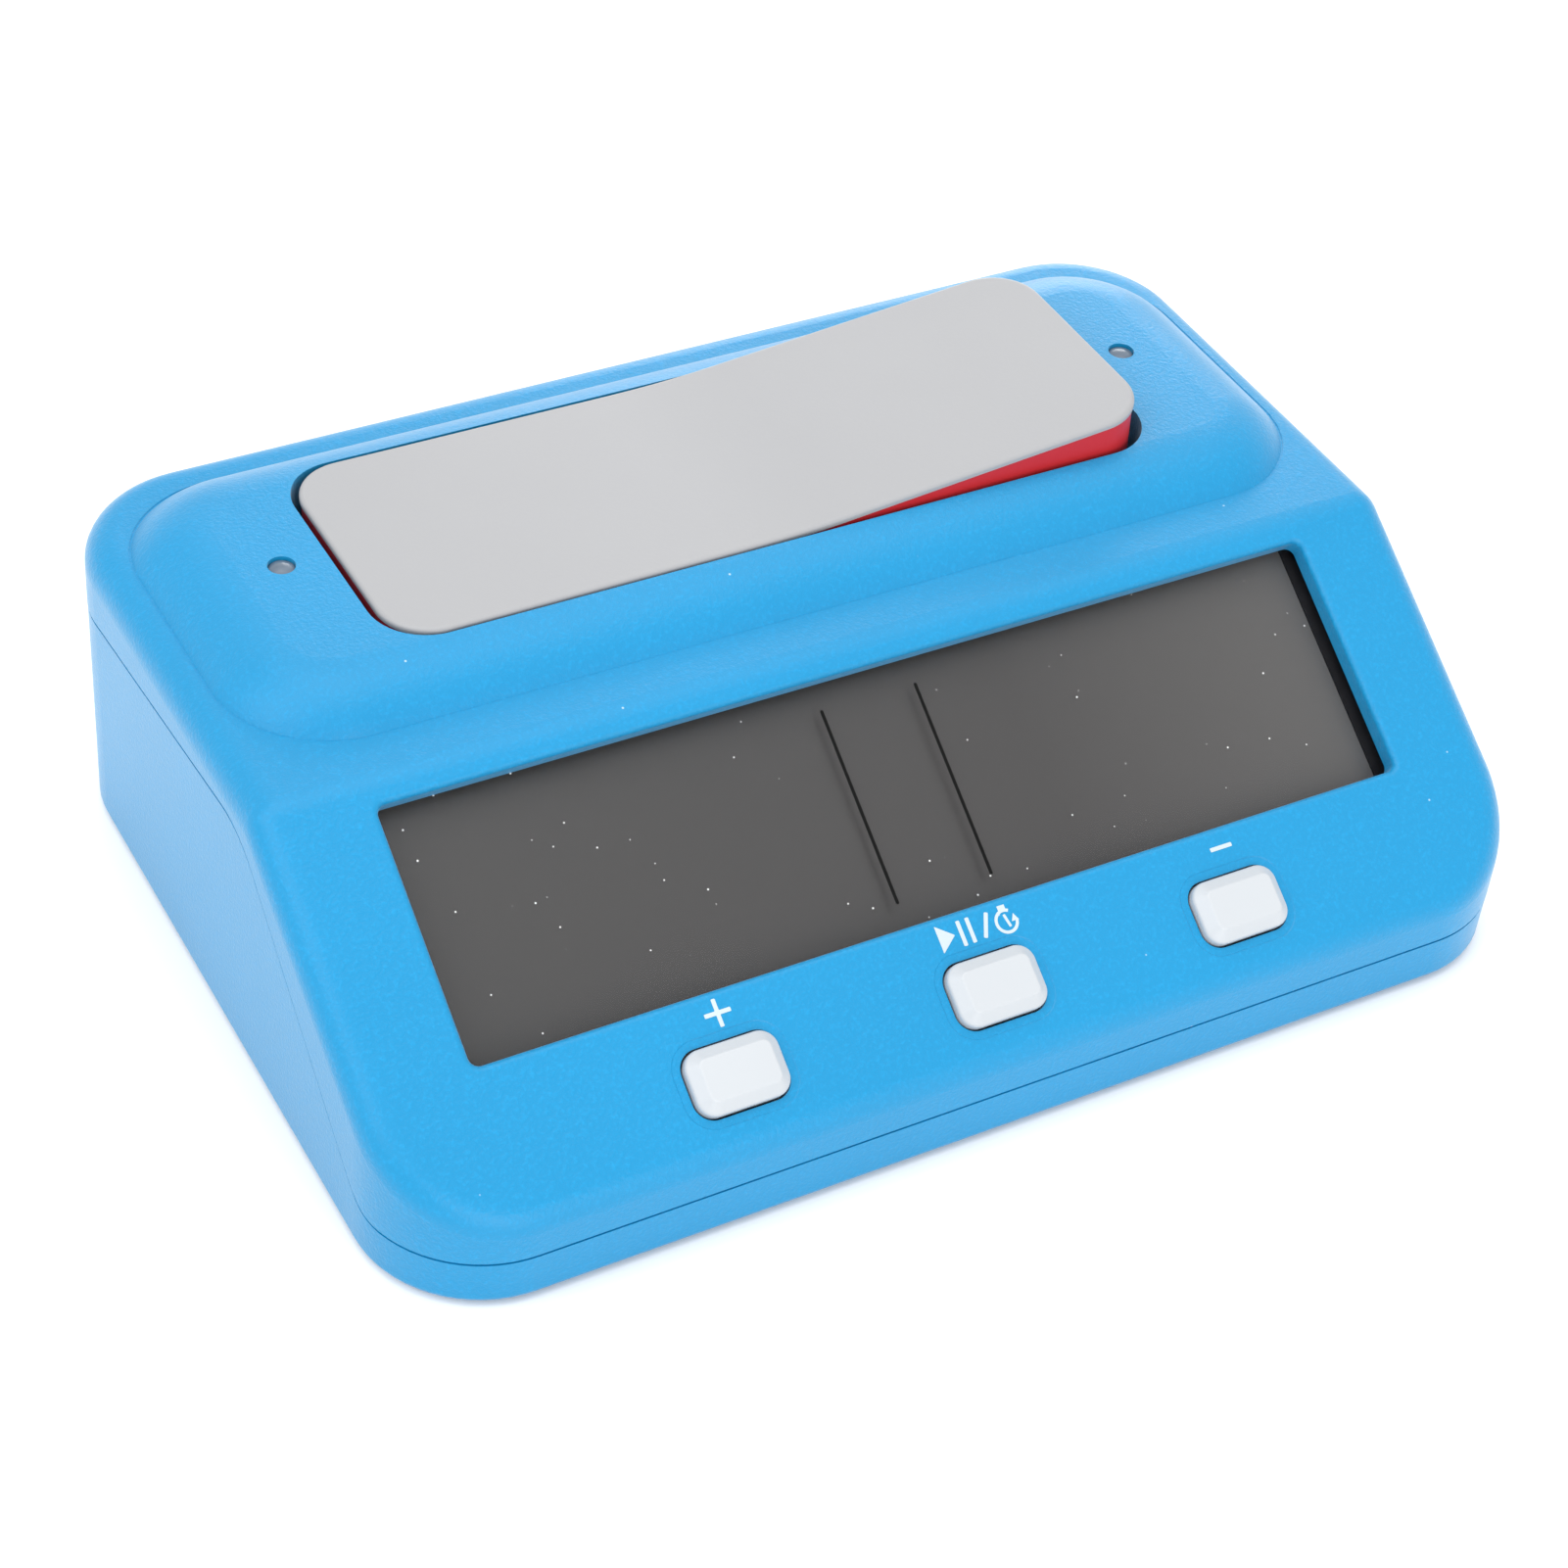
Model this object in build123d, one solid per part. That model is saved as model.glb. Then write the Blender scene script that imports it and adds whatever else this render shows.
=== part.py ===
"""Pocket-size digital chess clock: two-part moulded case, see-saw player rocker, LCD, three keys.

Axes: origin bottom centre, +X right, +Y back, +Z up; the sloping display faces -Y. Units mm.
Heights below are above the case's underside; export lifts everything by the feet's height.
"""
import math
import os

from build123d import *

os.makedirs("parts", exist_ok=True)

# ---- case envelope -------------------------------------------------------------------------
WIDTH, DEPTH, TOP_H, FRONT_H = 150.0, 106.0, 39.6, 12.0
SLOPE = 32.5                       # display panel, degrees from horizontal
PLAN_R, RIM_R, RIDGE_R = 15.0, 3.8, 4.5
WALL, PANEL_WALL, FLOOR = 2.0, 2.6, 2.0
FOOT_H = 0.6                       # feet stand this far below the case
BASE_INSET, BASE_WALL, BASE_ROUND = 0.05, 2.5, 1.0
PARTING = [(-60, 6.1), (-39, 6.1), (-6.5, 34.7), (60, 27.9)]   # (y, z) of the seam, front to back
PARTING_R = (10.0, 11.0)           # rounding of the seam's two bends
SEAM_GAP, SEAM_DEEP = 0.36, 0.4    # shadow groove between the two housings
LIP_FIT, LIP_T, LIP_UP, LIP_DOWN = 0.15, 0.95, 1.6, 2.0

# ---- pillow round the rocker: footprint at TOP_H, height, plan corners and edge arc
PILLOW_X, PILLOW_Y, PILLOW_Y0, PILLOW_H, PILLOW_R, PILLOW_ARC = 142.0, 50.0, -3.0, 4.2, 14.0, 11.6
PILLOW_TOP, PILLOW_MID = TOP_H + PILLOW_H, PILLOW_Y0 + PILLOW_Y / 2
CREASE, CREASE_DEEP = 0.3, 0.07     # fine channel round the pillow's foot

# ---- rocker --------------------------------------------------------------------------------
CAP_X, CAP_Y, CAP_R, CAP_T, CAP_EDGE = 100.6, 33.9, 6.5, 0.85, 0.5
SKIRT_IN, SKIRT_WALL = 0.18, 1.8   # how far the skirt stands in from the cap, and its wall
ROCK_Y = 22.8                      # rocker centre line
TILT = 2.75                        # half of the rocker's swing, degrees
PIVOT_Z, VALLEY_Z, SKIRT_Z = 38.0, 43.95, 32.0
AXLE_R, RUN_FIT, HUB_R = 1.5, 0.05, 3.4
AXLE_Y0, AXLE_Y1 = 2.0, 44.0
WELL_X, WELL_Y, WELL_R, WELL_Z, WELL_WALL = 103.2, 35.0, 7.0, 28.6, 1.6
STOP_X, STOP_T, STOP_GAP = 49.2, 1.4, 0.12
KNOB_Z = 27.0                      # where the fork drives the side switch
SIDE_BOARD_Z, SIDE_BOARD_T, SIDE_SCREW_X = 21.0, 1.2, 14.0

# ---- display panel, in panel coordinates (x, up the slope, out of the panel) ---------------
WIN_X, WIN_V0, WIN_V1, WIN_R, WIN_EDGE = 122.4, 17.8, 48.3, 1.2, 0.8
LENS_T, LENS_LAP = 1.2, 2.0
LCD_X, LCD_V0, LCD_V1, LCD_T = 120.4, 16.8, 49.5, 2.2
STRIP_X, STRIP_V = 58.0, 0.9       # half length and half width of the contact strips
BOARD_N, BOARD_T = -9.3, 1.6
KEY_V, KEY_XS = 8.1, {"plus": -33.3, "play": 0.0, "minus": 33.3}
KEY_W, KEY_H, KEY_R, KEY_GAP = 11.5, 7.7, 2.2, 0.27
KEY_SIDE, KEY_TOP, KEY_BEVEL = 0.75, 1.95, 50.0 # side height, top height, bevel angle
FLANGE, FLANGE_T = 1.2, 1.0
PAD, PAD_DEEP, PAD_EDGE = 1.2, 0.08, -62.0      # sunk pad round each key
SWITCH_N = -5.8                    # top of the key switch bodies
PLUNGER_N = -4.9                   # where plunger and key stem meet
BOARD_SCREWS = [(-17.0, 8.1), (17.0, 8.1), (-67.5, 38.0), (67.5, 38.0)]

# ---- fixings, batteries, lights --------------------------------------------------------------
# housing screws: x, y, height of the head's seat, height where the two posts meet
SCREW_SPOTS = [(-65, -41.5, 2.6, 5.6), (65, -41.5, 2.6, 5.6),
               (-65, 42.5, 16.0, 22.0), (65, 42.5, 16.0, 22.0)]
BOSS_R, SCREW_R, SCREW_HEAD_R, SCREW_LEN = 3.4, 1.3, 2.5, 10.0
SMALL_R, SMALL_PILOT, SMALL_POST = 1.1, 0.9, 2.2   # board screws: clearance, pilot, post
FEET = [(-52, -44), (52, -44), (-52, 44), (52, 44)]
FOOT_R = 4.5
CELL_R, CELL_L, NUB_R, NUB_L = 7.2, 49.2, 2.75, 1.3
CELL_YS = (18.5, 33.7)
CELL_Z = 9.7
BAY_X, BAY_Y0, BAY_Y1, BAY_Z = 29.9, 11.0, 41.3, 17.4
DOOR_X, DOOR_Y0, DOOR_Y1, DOOR_T = 30.9, 10.1, 40.9, 1.8
HINGE_Y, HINGE_Z, HINGE_R, HINGE_PIN_R = 43.2, 1.6, 1.6, 0.8
EARS = ((-22.0, -14.0), (14.0, 22.0))
LIGHT_X, LIGHT_Y, LIGHT_R, LIGHT_DOME = 57.2, 23.8, 1.5, 4.0
LIGHT_BOARD_Z, LIGHT_SCREW_X, LIGHT_PITCH = 33.6, 65.3, 2.54
BUZZER = (-42.0, -24.0)            # centre of the sound holes
POWER = (50.0, 22.0)
POWER_X, POWER_Y, POWER_Z, POWER_TRAVEL = 7.0, 3.5, 6.6, 3.0

PANEL = Plane(origin=(0, -DEPTH / 2, FRONT_H), x_dir=(1, 0, 0),
              z_dir=(0, -math.sin(math.radians(SLOPE)), math.cos(math.radians(SLOPE))))


# ---- helpers ---------------------------------------------------------------------------------
def save(name, shape):
    export_step(Pos(0, 0, FOOT_H) * shape, f"parts/{name}.step")


def box(x0, x1, y0, y1, z0, z1):
    return Pos((x0 + x1) / 2, (y0 + y1) / 2, (z0 + z1) / 2) * Box(x1 - x0, y1 - y0, z1 - z0)


def rbox(wx, wy, r, z0, z1, x=0, y=0, taper=0):
    return extrude(Pos(x, y, z0) * RectangleRounded(wx, wy, r), z1 - z0, taper=taper)


def rod(r, z0, z1, x=0, y=0):
    return Pos(x, y, (z0 + z1) / 2) * Cylinder(r, z1 - z0)


def rod_x(r, x0, x1, y, z):
    return Pos((x0 + x1) / 2, y, z) * Rot(0, 90, 0) * Cylinder(r, x1 - x0)


def rod_y(r, y0, y1, x, z):
    return Pos(x, (y0 + y1) / 2, z) * Rot(90, 0, 0) * Cylinder(r, y1 - y0)


def prism(points, plane, half, rounds=()):
    """Closed outline on a plane, chosen corners rounded, extruded both ways by half."""
    face = make_face(Polyline(*points, close=True))
    for corner, r in rounds:
        near = face.vertices().sort_by(lambda v: (v.X - corner[0]) ** 2 + (v.Y - corner[1]) ** 2)[0]
        face = fillet(near, r)
    return extrude(plane * face, half, both=True)


def wire(points, r=0.6):
    path = Spline(*points)
    return sweep(Plane(origin=path @ 0, z_dir=path % 0) * Circle(r), path=path)


def group(shapes):
    total = shapes[0]
    for s in shapes[1:]:
        total += s
    return total


# ---- case shape --------------------------------------------------------------------------------
def wedge(inset, panel_in, z_low):
    """The case's wedge shape, pulled in by inset everywhere and by panel_in on the display panel."""
    t, c = math.tan(math.radians(SLOPE)), math.cos(math.radians(SLOPE))
    y0, y1, top = -DEPTH / 2 + inset, DEPTH / 2 - inset, TOP_H - inset
    nose = FRONT_H - panel_in / c + inset * t
    ridge = -DEPTH / 2 + (top - FRONT_H + panel_in / c) / t
    side = prism([(y0, z_low), (y0, nose), (ridge, top), (y1, top), (y1, z_low)], Plane.YZ, WIDTH)
    return side & rbox(WIDTH - 2 * inset, DEPTH - 2 * inset, PLAN_R - inset, z_low, 60)


def pillow(inset=0.0):
    """Low slab with a long arc on its top edge; its sides lean in to the footprint at TOP_H."""
    swell = PILLOW_ARC - math.sqrt(PILLOW_ARC ** 2 - (PILLOW_ARC - PILLOW_H) ** 2)
    grow = 2 * (swell - inset)
    slab = rbox(PILLOW_X + grow, PILLOW_Y + grow, PILLOW_R + grow / 2, PILLOW_TOP - PILLOW_ARC - 1,
                PILLOW_TOP - inset, 0, PILLOW_MID)
    return fillet(slab.faces().sort_by(Axis.Z)[-1].edges(), PILLOW_ARC - inset)


def outer_case():
    body = wedge(0, 0, 0)
    ridge_y = -DEPTH / 2 + (TOP_H - FRONT_H) / math.tan(math.radians(SLOPE))
    ridge = body.edges().filter_by(Axis.X).sort_by(lambda e: abs(e.center().Y - ridge_y))[0]
    body = fillet(ridge, RIDGE_R)
    upper = [e for e in body.edges() if e.center().Z > FRONT_H - 0.5]
    rim = [e for e in upper if e.geom_type != GeomType.LINE]
    for e in upper:
        across = abs(e.tangent_at(0.5).X) > 0.9 and -30 < e.center().Y < 10
        if e.geom_type == GeomType.LINE and abs(e.tangent_at(0.5).Z) < 0.9 and not across:
            rim.append(e)
    case = fillet(rim, RIM_R)
    crease_z = TOP_H - CREASE_DEEP
    case -= rbox(PILLOW_X + 2 * CREASE, PILLOW_Y + 2 * CREASE, PILLOW_R + CREASE,
                 crease_z, 60, 0, PILLOW_MID)
    return case + (pillow() & box(-80, 80, -60, 60, crease_z, 60))


def below_seam(shift=0.0):
    pts = [(y, z + shift) for y, z in PARTING] + [(60, -20), (-60, -20)]
    return prism(pts, Plane.YZ, WIDTH, [(pts[1], PARTING_R[0]), (pts[2], PARTING_R[1])])


def key_ring(grow, n0, n1, x, taper=0):
    return PANEL * rbox(KEY_W + 2 * grow, KEY_H + 2 * grow, KEY_R + grow, n0, n1, x, KEY_V, taper)


def housing_posts():
    """Screw posts, axle bearings and board posts that hang inside the upper housing."""
    posts = []
    for y0, y1 in ((AXLE_Y0 - 1, ROCK_Y - WELL_Y / 2), (ROCK_Y + WELL_Y / 2, AXLE_Y1 + 1)):
        posts.append(rod_y(HUB_R, y0, y1, 0, PIVOT_Z))
    for x, y, seat, meet in SCREW_SPOTS:
        posts.append(rod(BOSS_R, meet, PILLOW_TOP, x, y))
    for x, v in BOARD_SCREWS:
        posts.append(PANEL * rod(SMALL_POST, BOARD_N, 0, x, v))
    for s in (-1, 1):
        posts.append(rod(SMALL_POST, SIDE_BOARD_Z + SIDE_BOARD_T, WELL_Z - 0.5, s * SIDE_SCREW_X, ROCK_Y))
        posts.append(rod(SMALL_POST, LIGHT_BOARD_Z + SIDE_BOARD_T, PILLOW_TOP, s * LIGHT_SCREW_X, LIGHT_Y))
    inside = wedge(WALL - 0.8, PANEL_WALL - 0.8, 0) + pillow(WALL - 0.8)
    return group(posts) & inside


def upper_housing():
    shell = outer_case() - wedge(WALL, PANEL_WALL, -1) - pillow(WALL) - below_seam()
    groove = below_seam(SEAM_GAP)
    groove -= rbox(WIDTH - 2 * SEAM_DEEP, DEPTH - 2 * SEAM_DEEP, PLAN_R - SEAM_DEEP, -21, 60)
    shell -= groove
    shell += rbox(WELL_X + 2 * WELL_WALL, WELL_Y + 2 * WELL_WALL, WELL_R + WELL_WALL,
                  WELL_Z - WELL_WALL, PILLOW_TOP - 1.2, 0, ROCK_Y)
    shell += housing_posts()
    # rocker well, its fork slot, end stops and axle bores
    shell -= rbox(WELL_X, WELL_Y, WELL_R, WELL_Z, 60, 0, ROCK_Y)
    shell -= box(-4.5, 4.5, ROCK_Y - 4, ROCK_Y + 4, 20, WELL_Z + 1)
    stop_z = SKIRT_Z - STOP_X * math.sin(math.radians(TILT)) - STOP_GAP
    for x in (-STOP_X, STOP_X):
        shell += box(x - STOP_T / 2, x + STOP_T / 2, ROCK_Y - 8, ROCK_Y + 8, WELL_Z - 0.5, stop_z)
    shell -= rod_y(AXLE_R, AXLE_Y0, AXLE_Y1, 0, PIVOT_Z)
    # display window, then the key openings in shallow moulded pads
    shell -= PANEL * rbox(WIN_X, WIN_V1 - WIN_V0, WIN_R, -PANEL_WALL - 1, 5, 0, (WIN_V0 + WIN_V1) / 2)
    for x in KEY_XS.values():
        shell -= key_ring(PAD, -PAD_DEEP, 0.1, x, PAD_EDGE)
        shell -= key_ring(KEY_GAP, -PANEL_WALL - 1, 3, x)
    # screw pilots and the two side-light holes
    for x, y, seat, meet in SCREW_SPOTS:
        shell -= rod(SCREW_R, meet - 1, seat + SCREW_LEN + 1, x, y)
    for x, v in BOARD_SCREWS:
        shell -= PANEL * rod(SMALL_PILOT, BOARD_N - 1, BOARD_N + 4, x, v)
    for s in (-1, 1):
        shell -= rod(SMALL_PILOT, 20, 25.8, s * SIDE_SCREW_X, ROCK_Y)
        shell -= rod(SMALL_PILOT, LIGHT_BOARD_Z, 38.4, s * LIGHT_SCREW_X, LIGHT_Y)
        shell -= rod(LIGHT_R + 0.15, TOP_H, 60, s * LIGHT_X, LIGHT_Y)
    return soften_window(shell)


def soften_window(shell):
    """Round the outer edge of the display window."""
    local = PANEL.to_local_coords(shell)
    edges = [e for e in local.edges() if abs(e.center().Z) < 0.02 and abs(e.center().X) <= WIN_X / 2 + 0.1
             and WIN_V0 - 0.1 <= e.center().Y <= WIN_V1 + 0.1]
    return PANEL * fillet(edges, WIN_EDGE)


def hollow(gap, z0):
    """The lower housing's plan, pulled in by gap, from z0 upward."""
    return rbox(WIDTH - 2 * gap, DEPTH - 2 * gap, PLAN_R - gap, z0, 60)


def lower_housing():
    wx, wy = WIDTH - 2 * BASE_INSET, DEPTH - 2 * BASE_INSET
    outer = rbox(wx, wy, PLAN_R - BASE_INSET, 0, 40)
    outer = fillet(outer.faces().sort_by(Axis.Z)[0].edges(), BASE_ROUND)
    shell = (outer & below_seam()) - hollow(BASE_INSET + BASE_WALL, FLOOR)
    lip = hollow(WALL + LIP_FIT, FLOOR + 0.5) - hollow(WALL + LIP_FIT + LIP_T, 0)
    shell += (lip & below_seam(LIP_UP)) - below_seam(-LIP_DOWN)
    # battery bay, its door opening and the two hinge pockets
    shell += box(-33, 33, 8.5, 46.2, 0.5, BAY_Z + 1.4)
    shell -= box(-BAY_X, BAY_X, BAY_Y0, BAY_Y1, -1, BAY_Z)
    shell -= box(-DOOR_X - 0.3, DOOR_X + 0.3, DOOR_Y0 - 0.3, HINGE_Y - 1.4, -1, FLOOR + 0.1)
    shell -= box(-4.6, 4.6, DOOR_Y0 - 0.3, BAY_Y0 + 1, FLOOR, DOOR_T + 2.0)
    for x0, x1 in EARS:
        shell -= box(x0 - 0.4, x1 + 0.4, DOOR_Y1, HINGE_Y + HINGE_R + 0.3, -1, HINGE_Z + HINGE_R + 0.4)
        shell -= rod_x(HINGE_PIN_R + RUN_FIT, x0 - 1.9, x1 + 1.9, HINGE_Y, HINGE_Z)
    for s in (-1, 1):
        for y in CELL_YS:
            shell -= box(s * BAY_X - 0.9, s * BAY_X + 0.9, y - 2, y + 2, BAY_Z - 1, BAY_Z + 3)
    # screw posts, counterbored from below
    for x, y, seat, meet in SCREW_SPOTS:
        shell += rod(BOSS_R, 0.5, meet, x, y)
    for x, y, seat, meet in SCREW_SPOTS:
        shell -= rod(SCREW_HEAD_R + 0.3, -1, seat, x, y)
        shell -= rod(SCREW_R + 0.15, seat - 1, meet + 1, x, y)
    for x, y in FEET:
        shell -= rod(FOOT_R, -1, 1.0, x, y)
    # buzzer grille: one hole with six round it
    shell -= rod(0.8, -1, FLOOR + 1, *BUZZER)
    for k in range(6):
        turn = k * math.pi / 3
        shell -= rod(0.8, -1, FLOOR + 1, BUZZER[0] + 4 * math.cos(turn), BUZZER[1] + 4 * math.sin(turn))
    # power switch recess, slot and locating walls
    px, py = POWER
    shell += box(px - 8.2, px + 8.2, py - 4.7, py + 4.7, 1, 5)
    shell -= box(px - 7.1, px + 7.1, py - 3.6, py + 3.6, FLOOR, 6)
    shell -= rbox(12.5, 8, 1.5, -1, 1.0, px, py)
    shell -= rbox(7.2, 3.4, 0.6, -1, 3, px, py)
    return shell


# ---- rocker --------------------------------------------------------------------------------------
def vee(z_mid, z_far):
    """Everything between a shallow V surface and a far level, on the rocker's own axis."""
    rise = 60 * math.tan(math.radians(TILT))
    return prism([(-60, z_mid + rise), (0, z_mid), (60, z_mid + rise), (60, z_far), (-60, z_far)],
                 Plane.XZ, 60, [((0, z_mid), 150)])


def tipped(shape):
    """Turn a level rocker piece into the stored pose: left side down."""
    return Pos(0, 0, PIVOT_Z) * Rot(0, -TILT, 0) * Pos(0, 0, -PIVOT_Z) * shape


def rocker():
    """Thin grey cap and the red skirt under it, which carries hub, ribs and the switch fork."""
    cap = rbox(CAP_X, CAP_Y, CAP_R, SKIRT_Z, 60, 0, ROCK_Y) - vee(VALLEY_Z, 80) - vee(VALLEY_Z - CAP_T, -20)
    top_face = cap.faces().filter_by(lambda f: f.normal_at().Z > 0.9)
    rim = [e for e in top_face.edges() if abs(e.tangent_at(0.5).Y) < 0.99 or abs(e.center().X) > 40]
    cap = fillet(rim, CAP_EDGE)
    gap = SKIRT_IN + SKIRT_WALL
    skirt = rbox(CAP_X - 2 * SKIRT_IN, CAP_Y - 2 * SKIRT_IN, CAP_R - SKIRT_IN, SKIRT_Z, 60, 0, ROCK_Y)
    skirt -= rbox(CAP_X - 2 * gap, CAP_Y - 2 * gap, CAP_R - gap, SKIRT_Z - 1, 60, 0, ROCK_Y)
    y0, y1 = ROCK_Y - CAP_Y / 2 + 1.3, ROCK_Y + CAP_Y / 2 - 1.3
    skirt += rod_y(HUB_R, y0, y1, 0, PIVOT_Z)
    skirt += box(-2, 2, y0, y1, PIVOT_Z, 60)
    for x in (-32, 32):
        skirt += box(x - 0.8, x + 0.8, y0, y1, SKIRT_Z + 3, 60)
    skirt += box(-3.0, 3.0, ROCK_Y - 2.2, ROCK_Y + 2.2, KNOB_Z - 0.7, PIVOT_Z)
    skirt -= box(-1.4, 1.4, ROCK_Y - 3, ROCK_Y + 3, KNOB_Z - 2, KNOB_Z + 1.6)
    skirt -= vee(VALLEY_Z - CAP_T, 80)
    skirt -= rod_y(AXLE_R + RUN_FIT, 0, 50, 0, PIVOT_Z)
    return tipped(cap), tipped(skirt)


def side_switch():
    """Short-travel slide switch under the well, its knob held in the rocker's fork."""
    top = SIDE_BOARD_Z + SIDE_BOARD_T
    body = box(-6, 6, ROCK_Y - 3.2, ROCK_Y + 3.2, top, top + 3.6)
    body -= box(-4.2, 4.2, ROCK_Y - 2, ROCK_Y + 2, top + 1.2, top + 2.6)
    body -= box(-2.1, 2.1, ROCK_Y - 1.4, ROCK_Y + 1.4, top + 1.8, top + 5)
    slider = box(-2.7, 2.7, ROCK_Y - 1.8, ROCK_Y + 1.8, top + 1.4, top + 2.4)
    slider += box(-1.2, 1.2, ROCK_Y - 1.1, ROCK_Y + 1.1, top + 2.3, KNOB_Z + 0.7)
    board = box(-17, 17, ROCK_Y - 8, ROCK_Y + 8, SIDE_BOARD_Z, top)
    for s in (-1, 1):
        board -= rod(SMALL_R, SIDE_BOARD_Z - 1, top + 1, s * SIDE_SCREW_X, ROCK_Y)
    dx = (PIVOT_Z - KNOB_Z) * math.sin(math.radians(TILT))
    return body, Pos(dx, 0, 0) * slider, board


# ---- display and keys ------------------------------------------------------------------------------
def display():
    mid_v, high = (WIN_V0 + WIN_V1) / 2, WIN_V1 - WIN_V0
    lens_n = -PANEL_WALL - LENS_T
    lens = PANEL * rbox(WIN_X + 2 * LENS_LAP, high + 2 * LENS_LAP, 1.5, lens_n, -PANEL_WALL, 0, mid_v)
    x, top, low = LCD_X / 2, lens_n - 0.2, lens_n - 0.2 - LCD_T
    # two glass sheets: the front one is short of the contact ledges along both long edges
    lcd = box(-x, x, LCD_V0, LCD_V1, low, top)
    for v0, v1 in ((LCD_V0 - 1, WIN_V0 - 0.4), (WIN_V1 + 0.4, LCD_V1 + 1)):
        lcd -= box(-LCD_X, LCD_X, v0, v1, top - LCD_T / 2, top + 1)
    edge = WIN_X / 2 + LENS_LAP + 1.0
    frame = box(-edge, edge, LCD_V0 - 1.8, LCD_V1 + 1.2, BOARD_N + 0.1, top + 0.1)
    frame -= box(-x - 0.1, x + 0.1, LCD_V0 - 0.1, LCD_V1 + 0.1, low, top + 1)
    frame -= box(-x + 2.2, x - 2.2, LCD_V0 + 2.9, LCD_V1 - 2.9, BOARD_N - 1, top)
    strips = []
    for v in (LCD_V0 + 1.5, LCD_V1 - 1.5):
        frame -= box(-STRIP_X - 0.2, STRIP_X + 0.2, v - STRIP_V - 0.1, v + STRIP_V + 0.1, BOARD_N - 1, top)
        strips.append(PANEL * box(-STRIP_X, STRIP_X, v - STRIP_V, v + STRIP_V, BOARD_N, low))
    return lens, PANEL * lcd, PANEL * frame, strips


def main_board():
    """Main circuit board with the parts soldered to its back."""
    back = BOARD_N - BOARD_T
    board = box(-62.4, 62.4, 3, 49, back, BOARD_N) + box(-70.3, 70.3, 31, 45, back, BOARD_N)
    for x in (-60.5, 60.5):
        board -= box(x - 3.5, x + 3.5, 0, 14, -20, 0)
    for x, v in BOARD_SCREWS:
        board -= rod(SMALL_R, -20, 0, x, v)
    blob = fillet(rod(7, back - 1.4, back, 2, 31).faces().sort_by(Axis.Z)[0].edges(), 1.1)
    crystal = rod_x(1.5, 14, 22, 27, back - 1.5)
    cap = rod(3.2, back - 7.5, back, -20, 36)
    buzzer = rod(6, back - 6.5, back, -42, 26) - rod(1.2, back - 8, back - 5.5, -42, 26)
    chips = [box(x, x + 2.0, v, v + 1.2, back - 0.6, back) for x in (26, 31, 36, 41) for v in (22, 28)]
    parts = {"main_board": board, "controller_blob": blob, "crystal": crystal, "capacitor": cap,
             "buzzer": buzzer, "chip_resistors": group(chips)}
    return {name: PANEL * part for name, part in parts.items()}


def key(x):
    """One key: bevelled cap with flange and stem, the plunger it presses, and the switch body."""
    cap = rbox(KEY_W, KEY_H, KEY_R, -PANEL_WALL - 0.3, KEY_SIDE, x, KEY_V)
    cap += rbox(KEY_W, KEY_H, KEY_R, KEY_SIDE, KEY_TOP, x, KEY_V, taper=KEY_BEVEL)
    cap = fillet([e for e in cap.edges() if abs(e.center().Z - KEY_SIDE) < 0.01], 0.6)
    cap = fillet(cap.faces().sort_by(Axis.Z)[-1].edges(), 0.4)
    flange_n = -PANEL_WALL - 0.1
    cap += rbox(KEY_W + 2 * FLANGE, KEY_H + 2 * FLANGE, KEY_R + 0.7, flange_n - FLANGE_T, flange_n, x, KEY_V)
    cap += box(x - 2, x + 2, KEY_V - 1.5, KEY_V + 1.5, PLUNGER_N, flange_n)
    plunger = rod(1.7, PLUNGER_N - 3, PLUNGER_N, x, KEY_V)
    body = box(x - 3, x + 3, KEY_V - 3, KEY_V + 3, BOARD_N, SWITCH_N)
    body -= rod(1.8, BOARD_N + 0.4, 0, x, KEY_V)
    return PANEL * cap, PANEL * plunger, PANEL * body


# ---- batteries, contacts, door -----------------------------------------------------------------------
def batteries():
    """Two AA cells head to tail, and the coil spring at each flat end."""
    cells, springs = [], []
    for y, s in zip(CELL_YS, (1, -1)):
        tip = BAY_X - 1.0
        cell = rod_x(CELL_R, tip - NUB_L - CELL_L, tip - NUB_L, 0, 0)
        cell = fillet(cell.edges(), 0.6) + rod_x(NUB_R, tip - NUB_L - 0.5, tip, 0, 0)
        coil = Helix(pitch=1.7, height=6.5, radius=3.2)
        coil = sweep(Plane(origin=coil @ 0, z_dir=coil % 0) * Circle(0.35), path=coil)
        coil = Pos(-28.55, 0, 0) * Rot(0, 90, 0) * coil
        turn = Rot(0, 0, 0) if s > 0 else Rot(0, 0, 180)
        cells.append(Pos(0, y, CELL_Z) * turn * cell)
        springs.append(Pos(0, y, CELL_Z) * turn * coil)
    return cells, group(springs)


def contacts():
    """Sprung bridging plate at one end of the bay, one plate for each pole at the other."""
    (ya, yb), z0, z1 = CELL_YS, CELL_Z - 4.5, CELL_Z + 4.5
    bridge = box(29.0, 29.4, ya - 4.5, yb + 4.5, z0, z1)
    plates = []
    for y in (ya, yb):
        plate = box(-29.4, -29.0, y - 4.5, y + 4.5, z0, z1)
        plates.append(plate + box(-29.4, -29.0, y - 1.5, y + 1.5, z1 - 1, 20.6))
    return bridge, plates[1], plates[0]


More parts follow.
